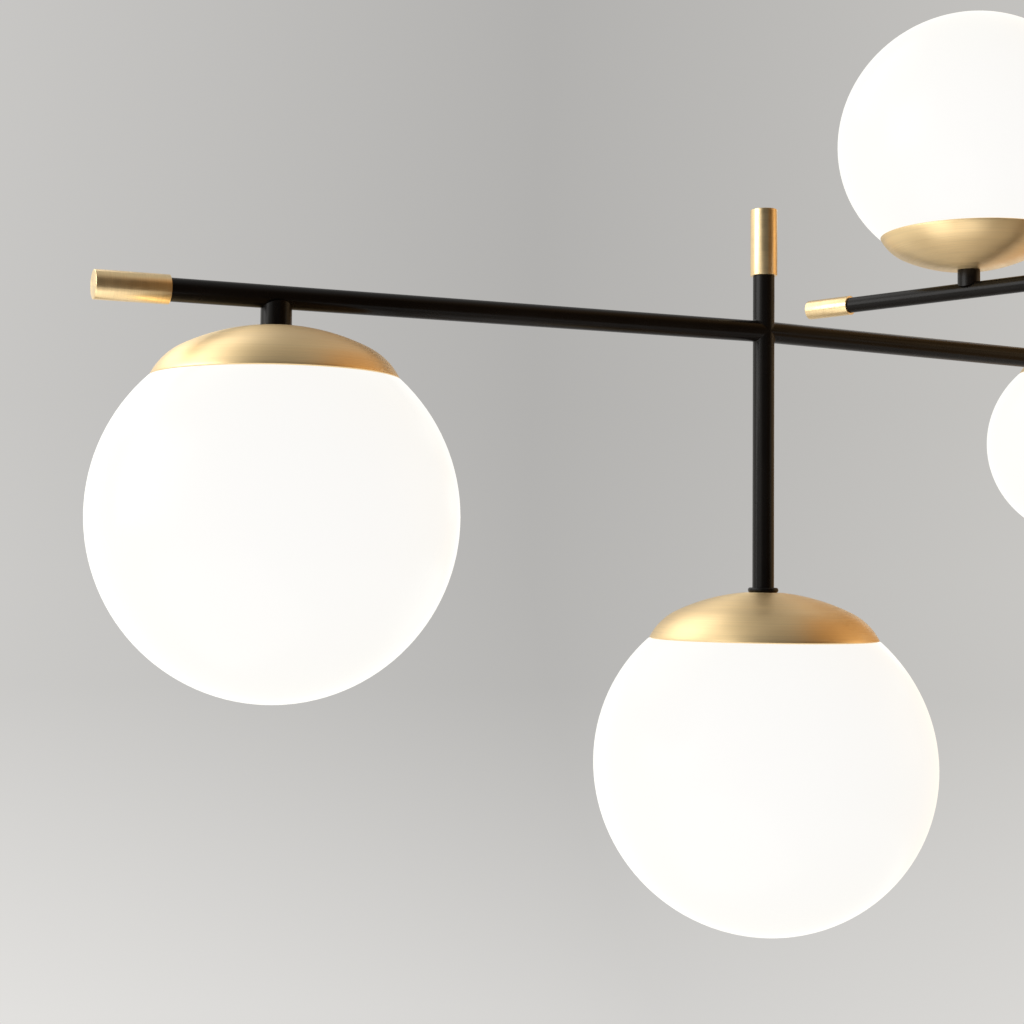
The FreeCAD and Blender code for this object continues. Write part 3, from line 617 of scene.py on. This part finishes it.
class DropRods(bpy.types.Operator):
    """Models the two upright rods with their round flanged feet"""
    bl_idname = "chandelier.drop_rods"
    bl_label = "Drop Rods"

    def execute(self, context):
        sizes = context.scene.chandelier_sizes
        for number, arm in ((2, "a"), (4, "c")):
            low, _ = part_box(f"arm_{arm}_drop_rod")
            foot = Vector((CENTRE[number].x, CENTRE[number].y, low.z))
            top = LEVEL[arm] + sizes.rod_rise - sizes.cap_end - low.z
            bore, radius, flange, ledge = (
                sizes.tube_bore, sizes.tube_radius, sizes.flange_radius, sizes.flange_height)
            rod = turned(f"arm_{arm}_upright", (
                (bore, 0), (flange, 0), (flange, ledge), (radius, ledge),
                (radius, top), (bore, top), (bore, 0)), 64)
            under, upper = ring_test(rod, flange, 0), ring_test(rod, flange, ledge)
            pick(rod, "EDGE", lambda edge: under(edge) or upper(edge))
            bpy.ops.mesh.bevel(offset=sizes.flange_round, segments=6, profile=0.5)
            finished(rod)
            placed(rod, Matrix.Translation(foot))
            coated(rod, "arm_" + arm, [f"arm_{arm}_drop_rod"], coat_finish())
        return {"FINISHED"}


class Welds(bpy.types.Operator):
    """Models the dressed weld where an arm's tubes meet its upright rod"""
    bl_idname = "chandelier.welds"
    bl_label = "Welds"

    def execute(self, context):
        sizes = context.scene.chandelier_sizes
        reach = 2.2 * sizes.tube_radius
        for number, arm, other in ((2, "a", over(1)), (4, "c", None)):
            rod = over(number)
            inward = heading(rod, stem_point(arm))
            outward = heading(rod, other) if other else -inward
            weld = None
            for direction in (UP, -UP, inward, outward):
                bpy.ops.mesh.primitive_cylinder_add(
                    vertices=48, radius=sizes.tube_radius, depth=reach, location=(0, 0, reach / 2))
                arm_piece = started(f"arm_{arm}_weld_side")
                bpy.ops.object.transform_apply(location=True, rotation=True, scale=True)
                placed(arm_piece, facing(Vector((0, 0, 0)), direction))
                if weld is None:
                    weld = arm_piece
                    continue
                use_modifier(weld, "BOOLEAN", operation="UNION", object=arm_piece, solver="EXACT")
                bpy.data.objects.remove(arm_piece)
            weld.name = f"arm_{arm}_rod_weld"
            weld.data.name = weld.name
            alone(weld)
            weld.data.remesh_voxel_size = sizes.weld_fillet
            bpy.ops.object.voxel_remesh()
            use_modifier(weld, "SMOOTH", factor=0.5, iterations=14)
            use_modifier(weld, "DECIMATE", ratio=0.3)
            finished(weld)
            placed(weld, Matrix.Translation(rod))
            coated(weld, "arm_" + arm, [], coat_finish())
        return {"FINISHED"}


def end_cap(name):
    """Turned cap with its flat end at the origin, facing +Z, and its bore open below."""
    sizes = bpy.context.scene.chandelier_sizes
    bore = sizes.tube_radius + CAP_FIT
    radius = sizes.cap_radius
    length = sizes.cap_length
    bpy.ops.mesh.primitive_cylinder_add(
        vertices=96, radius=radius, depth=length, location=(0, 0, -length / 2))
    cap = started(name)
    bpy.ops.object.transform_apply(location=True, rotation=True, scale=True)
    pick(cap, "FACE", lambda face: face.normal.z < -0.9)
    bpy.ops.mesh.inset(thickness=radius - bore)
    bpy.ops.mesh.extrude_region_move(TRANSFORM_OT_translate={"value": (0, 0, length - sizes.cap_end)})
    pick(cap, "EDGE", ring_test(cap, radius, 0))
    bpy.ops.mesh.bevel(offset=sizes.cap_chamfer, segments=3, profile=0.6)
    pick(cap, "EDGE", ring_test(cap, radius, -length))
    bpy.ops.mesh.bevel(offset=sizes.cap_chamfer / 2, segments=2, profile=0.6)
    pick(cap, "FACE", lambda face: face.normal.z > 0.99 and abs(face.center.z) < ON_END)
    for _ in range(3):
        bpy.ops.mesh.inset(thickness=radius / 5)
    bpy.ops.mesh.poke()
    finished(cap)
    turned_map(cap)
    return cap


class EndCaps(bpy.types.Operator):
    """Models the brushed brass caps on the arms and rods, and the finial under the stem"""
    bl_idname = "chandelier.end_caps"
    bl_label = "End Caps"

    def execute(self, context):
        sizes = context.scene.chandelier_sizes
        cap = end_cap("end_cap_pattern")
        rod_a, rod_c = over(2), over(4)
        stem_c = stem_point("c")
        along_c = heading(stem_c, rod_c)
        past = sizes.past_hanging
        beyond = sizes.past_standing
        ends = (
            ("a", "outer", over(1), heading(rod_a, over(1)), past),
            ("a", "right", over(6), heading(stem_point("a"), over(6)), beyond),
            ("a", "rod", rod_a, UP, sizes.rod_rise),
            ("b", "short", over(3), heading(stem_point("b"), over(3)), beyond),
            ("b", "long", over(5), heading(stem_point("b"), over(5)), past),
            ("c", "outer", rod_c, along_c, past),
            ("c", "tail", stem_c, -along_c, sizes.tail_length),
            ("c", "rod", rod_c, UP, sizes.rod_rise),
        )
        for arm, place, start, direction, reach in ends:
            end = start + direction * reach
            piece = placed(copied(cap, f"arm_{arm}_{place}_cap"), facing(end, direction))
            coated(piece, "arm_" + arm, [f"arm_{arm}_end_caps"], cap_brass())
        low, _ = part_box("stem_finial")
        finial = placed(copied(cap, "stem_end_finial"), facing(Vector((0, 0, low.z)), -UP))
        coated(finial, "ceiling_stem", ["stem_finial"], cap_brass())
        bpy.data.objects.remove(cap)
        return {"FINISHED"}


def dome_side(number):
    """Matrix that puts a dome made at the origin, open edge down, on its globe."""
    turn = Matrix.Rotation(math.pi, 4, "X") if STANDING[number] else Matrix.Identity(4)
    return Matrix.Translation(CENTRE[number]) @ turn


def dome_outline():
    """Corners (r, z) of a dome's outside from its rim up: a shoulder, then the crown to its seat."""
    sizes = bpy.context.scene.chandelier_sizes
    rim = math.sqrt(sizes.globe_radius ** 2 - sizes.dome_rim_radius ** 2)
    end, shoulder = sizes.dome_rim_angle, sizes.dome_shoulder
    out = sizes.dome_rim_radius - shoulder * math.sin(end)
    level = rim - shoulder * math.cos(end)
    drop = rim + sizes.dome_height - level
    crown = (out ** 2 + drop ** 2 - shoulder ** 2) / (2 * (drop - shoulder))
    crown_level = rim + sizes.dome_height - crown
    join = math.atan2(out, level - crown_level)
    seat = math.asin(sizes.dome_seat_radius / crown)
    corners = []
    for centre, radius, start, stop, steps in ((out, shoulder, end, join, 12), (0, crown, join, seat, 20)):
        height = level if centre else crown_level
        for step in range(steps + 1):
            angle = start + (stop - start) * step / steps
            corners.append((centre + radius * math.sin(angle), height + radius * math.cos(angle)))
    return corners


class Domes(bpy.types.Operator):
    """Models the spun brass dome over each globe's neck"""
    bl_idname = "chandelier.domes"
    bl_label = "Domes"

    def execute(self, context):
        sizes = context.scene.chandelier_sizes
        outline = dome_outline()
        seat = outline[-1][1]
        dome = turned("dome_pattern", outline + [(sizes.dome_bore, seat)], 128)
        use_modifier(dome, "SOLIDIFY", thickness=sizes.dome_wall, offset=-1, use_even_offset=True)
        pick(dome, "EDGE", ring_test(dome, *outline[0]))
        bpy.ops.mesh.bevel(offset=sizes.dome_edge, segments=2, profile=0.5)
        finished(dome)
        turned_map(dome)
        for number, arm in ARM_OF_GLOBE.items():
            piece = placed(copied(dome, f"globe_{number}_dome"), dome_side(number))
            coated(piece, "arm_" + arm, [f"dome_cap_{number}"], dome_brass())
        bpy.data.objects.remove(dome)
        return {"FINISHED"}


class Stubs(bpy.types.Operator):
    """Models the short posts, cut to sit round their arm's tube"""
    bl_idname = "chandelier.stubs"
    bl_label = "Stubs"

    def execute(self, context):
        sizes = context.scene.chandelier_sizes
        seat = dome_outline()[-1][1]
        axis = abs(CENTRE[1].z - LEVEL["a"])
        arch = axis - sizes.stub_ear_drop - sizes.stub_ear_radius
        bpy.ops.mesh.primitive_cylinder_add(
            vertices=128, radius=sizes.stub_radius, depth=axis - seat, location=(0, 0, (axis + seat) / 2))
        stub = started("stub_pattern")
        bpy.ops.object.transform_apply(location=True, rotation=True, scale=True)
        pick(stub, "EDGE", ring_test(stub, sizes.stub_radius, seat))
        bpy.ops.mesh.bevel(offset=sizes.stub_chamfer, segments=3, profile=0.5)
        bpy.ops.object.mode_set(mode="OBJECT")
        cuts = (
            ("INTERSECT", sizes.stub_ear_radius, arch, (math.pi / 2, 0, 0)),
            ("DIFFERENCE", sizes.tube_radius + SADDLE_GAP, axis, (0, math.pi / 2, 0)),
        )
        for operation, radius, height, turn in cuts:
            bpy.ops.mesh.primitive_cylinder_add(
                vertices=192, radius=radius, depth=0.04, location=(0, 0, height), rotation=turn)
            cutter = bpy.context.active_object
            use_modifier(stub, "BOOLEAN", operation=operation, object=cutter, solver="EXACT")
            bpy.data.objects.remove(cutter)
        finished(stub)
        for number in STUB_GLOBES:
            arm = ARM_OF_GLOBE[number]
            along = heading(over(2) if number == 1 else stem_point(arm), over(number))
            turn = Matrix.Rotation(math.atan2(along.y, along.x), 4, "Z")
            flip = Matrix.Rotation(math.pi, 4, "X") if STANDING[number] else Matrix.Identity(4)
            seat_place = Matrix.Translation(CENTRE[number]) @ turn @ flip
            piece = placed(copied(stub, f"globe_{number}_stub"), seat_place)
            coated(piece, "arm_" + arm, [f"arm_{arm}_stubs"], coat_finish())
        bpy.data.objects.remove(stub)
        return {"FINISHED"}


class Fittings(bpy.types.Operator):
    """Finishes the globes, the canopy and the small fittings, which keep their own shapes"""
    bl_idname = "chandelier.fittings"
    bl_label = "Globes, Canopy and Fittings"

    def execute(self, context):
        steel = plain_finish("satin_plated_steel", (0.52, 0.52, 0.5), 0.34, 1.0, 900.0, 0.00003)
        ring_brass = plain_finish("rolled_ring_brass", (0.62, 0.45, 0.22), 0.3, 1.0, 900.0, 0.00003)
        holder = plain_finish("moulded_holder", (0.03, 0.03, 0.03), 0.5, 0.0, 1600.0, 0.00006)
        lamp = plain_finish("moulded_lamp_shell", (0.86, 0.84, 0.78), 0.3, 0.0, 300.0, 0.00002)
        block = plain_finish("moulded_block", (0.8, 0.79, 0.74), 0.45, 0.0, 1600.0, 0.00006)
        finish_of = {
            "opal_glass": opal_finish(),
            "brushed_brass": ring_brass,
            "ring_brass": ring_brass,
            "plated_steel": steel,
            "holder_plastic": holder,
            "lamp_plastic": lamp,
            "block_plastic": block,
            "black_powder_coat": coat_finish(),
        }
        slot_of = {row["node"]: row["material_slot"] for row in frame["record"]["subparts"]}
        for name, node in frame["nodes"].items():
            if node.hide_render:
                continue
            node.data.materials.clear()
            node.data.materials.append(finish_of[slot_of[name]])
            for polygon in node.data.polygons:
                polygon.use_smooth = True
            weld = node.modifiers.new("Joined", "WELD")
            weld.merge_threshold = 0.000002
            crease = node.modifiers.new("Edges", "EDGE_SPLIT")
            crease.split_angle = SMOOTH_ANGLE
        return {"FINISHED"}


class Stage(bpy.types.Operator):
    """Sets up the floor, the soft lights and the camera"""
    bl_idname = "chandelier.stage"
    bl_label = "Stage"

    def execute(self, context):
        scene = context.scene
        settings = scene.chandelier_stage
        scene.view_settings.view_transform = "Standard"
        self.make_floor(settings)
        self.make_backdrop(scene)
        self.make_screens()
        self.soft_box("key_light", (-2.4, -0.6, 0.6), 1.8, settings.key)
        self.soft_box("window_light", (-1.8, 1.2, 2.0), 2.4, settings.window)
        self.soft_box("low_light", (-0.9, -0.9, -1.6), 2.4, settings.low)
        fill = self.soft_box("fill_light", (2.4, 0.1, 0.4), 1.4, settings.fill)
        fill.data.color = WARM_FILL
        for number, centre in CENTRE.items():
            bpy.ops.object.light_add(type="POINT", location=centre)
            lamp = bpy.context.active_object
            lamp.name = f"lamp_light_{number}"
            lamp.data.energy = settings.inner
            lamp.data.color = WARM_LAMP
            lamp.data.shadow_soft_size = scene.chandelier_sizes.globe_radius * 0.9
            lamp.visible_camera = False
            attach(lamp, f"globe_{number}")
            for name in ("glass_globe", "lamp", "lampholder"):
                frame["nodes"][f"{name}_{number}"].visible_shadow = False
        self.make_camera(scene)
        return {"FINISHED"}

    def make_floor(self, settings):
        bpy.ops.mesh.primitive_circle_add(
            vertices=96, radius=6, fill_type="NGON", location=(0, 0, -settings.floor_drop))
        floor = started("floor")
        material, tree, shader = new_finish("pale_floor", (0.62, 0.615, 0.6), 0.7)
        position = object_position(tree)
        split = tree.nodes.new("ShaderNodeSeparateXYZ")
        tree.links.new(position, split.inputs[0])
        squared = maths(tree, "ADD", maths(tree, "POWER", split.outputs["X"], 2.0),
                        maths(tree, "POWER", split.outputs["Y"], 2.0))
        fade = ranged(tree, maths(tree, "SQRT", squared), 2.4, 4.6, 1.0, 0.0)
        back = tree.nodes.new("ShaderNodeNewGeometry").outputs["Backfacing"]
        seen = maths(tree, "MULTIPLY", fade, maths(tree, "SUBTRACT", 1.0, back))
        tree.links.new(seen, shader.inputs["Alpha"])
        floor.data.materials.append(material)

    def make_backdrop(self, scene):
        """World by direction: pale all round, a little brighter below."""
        world = bpy.data.worlds.new("soft_room")
        scene.world = world
        world.use_nodes = True
        tree = world.node_tree
        background = tree.nodes["Background"]
        direction = tree.nodes.new("ShaderNodeTexCoord").outputs["Generated"]
        height, side = (share_along(tree, direction, axis) for axis in (UP, RIGHT))
        by_height = ramp(tree, ranged(tree, height, -0.4, 0.4, 0, 1), (
            (0.0, (0.71, 0.70, 0.682)), (0.2, (0.68, 0.67, 0.653)), (0.42, (0.50, 0.493, 0.48)),
            (0.62, (0.47, 0.463, 0.451)), (1.0, (0.47, 0.463, 0.451))))
        across = maths(tree, "MULTIPLY", side, ranged(tree, height, -0.25, 0, 0.5, 1))
        by_side = ramp(tree, ranged(tree, across, -1, 1, 0, 1), (
            (0.0, (0.32, 0.32, 0.317)), (0.38, (0.31, 0.31, 0.31)), (0.54, (0.237, 0.237, 0.237)),
            (0.68, (0.298, 0.297, 0.294)), (1.0, (0.298, 0.297, 0.294))))
        mix = tree.nodes.new("ShaderNodeMix")
        mix.data_type = "RGBA"
        mix.blend_type = "MULTIPLY"
        mix.inputs["Factor"].default_value = 1.0
        tree.links.new(by_height, mix.inputs["A"])
        tree.links.new(by_side, mix.inputs["B"])
        tree.links.new(mix.outputs["Result"], background.inputs["Color"])
        background.inputs["Strength"].default_value = 4.0

    def screen(self, name, radius, kept, glow):
        """Part of a sphere round the object that the camera doesn't see.

        It comes with its node tree, its shader and a function for its shares along an axis.
        """
        bpy.ops.mesh.primitive_uv_sphere_add(
            segments=48, ring_count=24, radius=radius, location=STAGE_MIDDLE)
        piece = started(name)
        pick(piece, "FACE", lambda face: not kept(face.center.normalized()))
        bpy.ops.mesh.delete(type="FACE")
        bpy.ops.object.mode_set(mode="OBJECT")
        piece.visible_camera = False
        material, tree, shader = new_finish(name, (0, 0, 0), 1.0)
        shader.inputs["Specular IOR Level"].default_value = 0.0
        shader.inputs["Emission Color"].default_value = (*glow, 1)
        shader.inputs["Emission Strength"].default_value = 1.0
        piece.data.materials.append(material)
        position = object_position(tree)
        return tree, shader, lambda axis: share_along(tree, position, axis / radius)

    def make_screens(self):
        """What the metal shows of the room: dark behind the camera, warm at the right, pale at the left."""
        tree, shader, share = self.screen(
            "dark_screen", 3.0,
            lambda way: way.dot(FORWARD) < -0.1 and way.dot(RIGHT) > -0.7 and way.z > -0.55, (0, 0, 0))
        behind = ranged(tree, share(FORWARD), -0.5, -0.15, 0.8, 0)
        off_left = ranged(tree, share(RIGHT), -0.65, -0.45, 0, 1)
        under_ceiling = ranged(tree, share(UP), 0.6, 0.95, 1, 0.35)
        dark = maths(tree, "MULTIPLY", maths(tree, "MULTIPLY", behind, off_left), under_ceiling)
        tree.links.new(dark, shader.inputs["Alpha"])
        tree, shader, share = self.screen(
            "warm_screen", 3.1, lambda way: way.dot(RIGHT) > 0.2 and way.z > -0.55, (0.62, 0.345, 0.127))
        tree.links.new(ranged(tree, share(RIGHT), 0.3, 0.52, 0, 1), shader.inputs["Alpha"])
        tree, shader, share = self.screen(
            "pale_screen", 3.2, lambda way: way.dot(RIGHT) < -0.2 and way.z > -0.5, (0.94, 0.93, 0.88))
        tree.links.new(ranged(tree, share(RIGHT), -0.55, -0.28, 1, 0), shader.inputs["Alpha"])

    def soft_box(self, name, offset, size, power):
        """Area light that faces the middle of the stage, offset from it to the right, ahead and up."""
        right, ahead, up = offset
        place = STAGE_MIDDLE + RIGHT * right + FORWARD * ahead + UP * up
        bpy.ops.object.light_add(type="AREA", location=place)
        light = bpy.context.active_object
        light.name = name
        light.data.shape = "SQUARE"
        light.data.size = size
        light.data.energy = power
        light.rotation_euler = (STAGE_MIDDLE - place).to_track_quat("-Z", "Y").to_euler()
        light.visible_camera = False
        return light

    def make_camera(self, scene):
        ahead = FORWARD * math.cos(CAMERA_PITCH) + UP * math.sin(CAMERA_PITCH)
        over_head = UP * math.cos(CAMERA_PITCH) - FORWARD * math.sin(CAMERA_PITCH)
        side = RIGHT * math.cos(CAMERA_ROLL) + over_head * math.sin(CAMERA_ROLL)
        top = over_head * math.cos(CAMERA_ROLL) - RIGHT * math.sin(CAMERA_ROLL)
        bpy.ops.object.camera_add(location=CAMERA_PLACE)
        camera = bpy.context.active_object
        camera.name = "photo_camera"
        camera.rotation_euler = Matrix((side, top, -ahead)).transposed().to_euler()
        camera.data.sensor_width = CAMERA_SENSOR
        camera.data.lens = CAMERA_LENS
        camera.data.shift_x, camera.data.shift_y = CAMERA_SHIFT
        scene.camera = camera


class ChandelierPanel(bpy.types.Panel):
    """Lists the chandelier's settings and its steps"""
    bl_idname = "VIEW3D_PT_chandelier"
    bl_label = "Branch Chandelier"
    bl_space_type = "VIEW_3D"
    bl_region_type = "UI"
    bl_category = "Chandelier"

    def draw(self, context):
        for settings in (context.scene.chandelier_sizes, context.scene.chandelier_finishes,
                         context.scene.chandelier_stage):
            box = self.layout.box()
            for label in settings.__annotations__:
                box.prop(settings, label)
        for operator in STEPS:
            self.layout.operator(operator.bl_idname)


STEPS = (ArmTubes, DropRods, Welds, EndCaps, Domes, Stubs, Fittings, Stage)
SETTINGS = {
    "chandelier_sizes": ChandelierSizes,
    "chandelier_finishes": ChandelierFinishes,
    "chandelier_stage": ChandelierStage,
}


def register():
    for group in SETTINGS.values():
        bpy.utils.register_class(group)
    for name, group in SETTINGS.items():
        setattr(bpy.types.Scene, name, bpy.props.PointerProperty(type=group))
    for operator in STEPS:
        bpy.utils.register_class(operator)
    bpy.utils.register_class(ChandelierPanel)


def unregister():
    bpy.utils.unregister_class(ChandelierPanel)
    for operator in reversed(STEPS):
        bpy.utils.unregister_class(operator)
    for name, group in SETTINGS.items():
        delattr(bpy.types.Scene, name)
        bpy.utils.unregister_class(group)


def main():
    register()
    bpy.ops.object.select_all(action="DESELECT")
    bpy.ops.chandelier.arm_tubes()
    bpy.ops.chandelier.drop_rods()
    bpy.ops.chandelier.welds()
    bpy.ops.chandelier.end_caps()
    bpy.ops.chandelier.domes()
    bpy.ops.chandelier.stubs()
    bpy.ops.chandelier.fittings()
    bpy.ops.chandelier.stage()


if __name__ == "__main__":
    main()
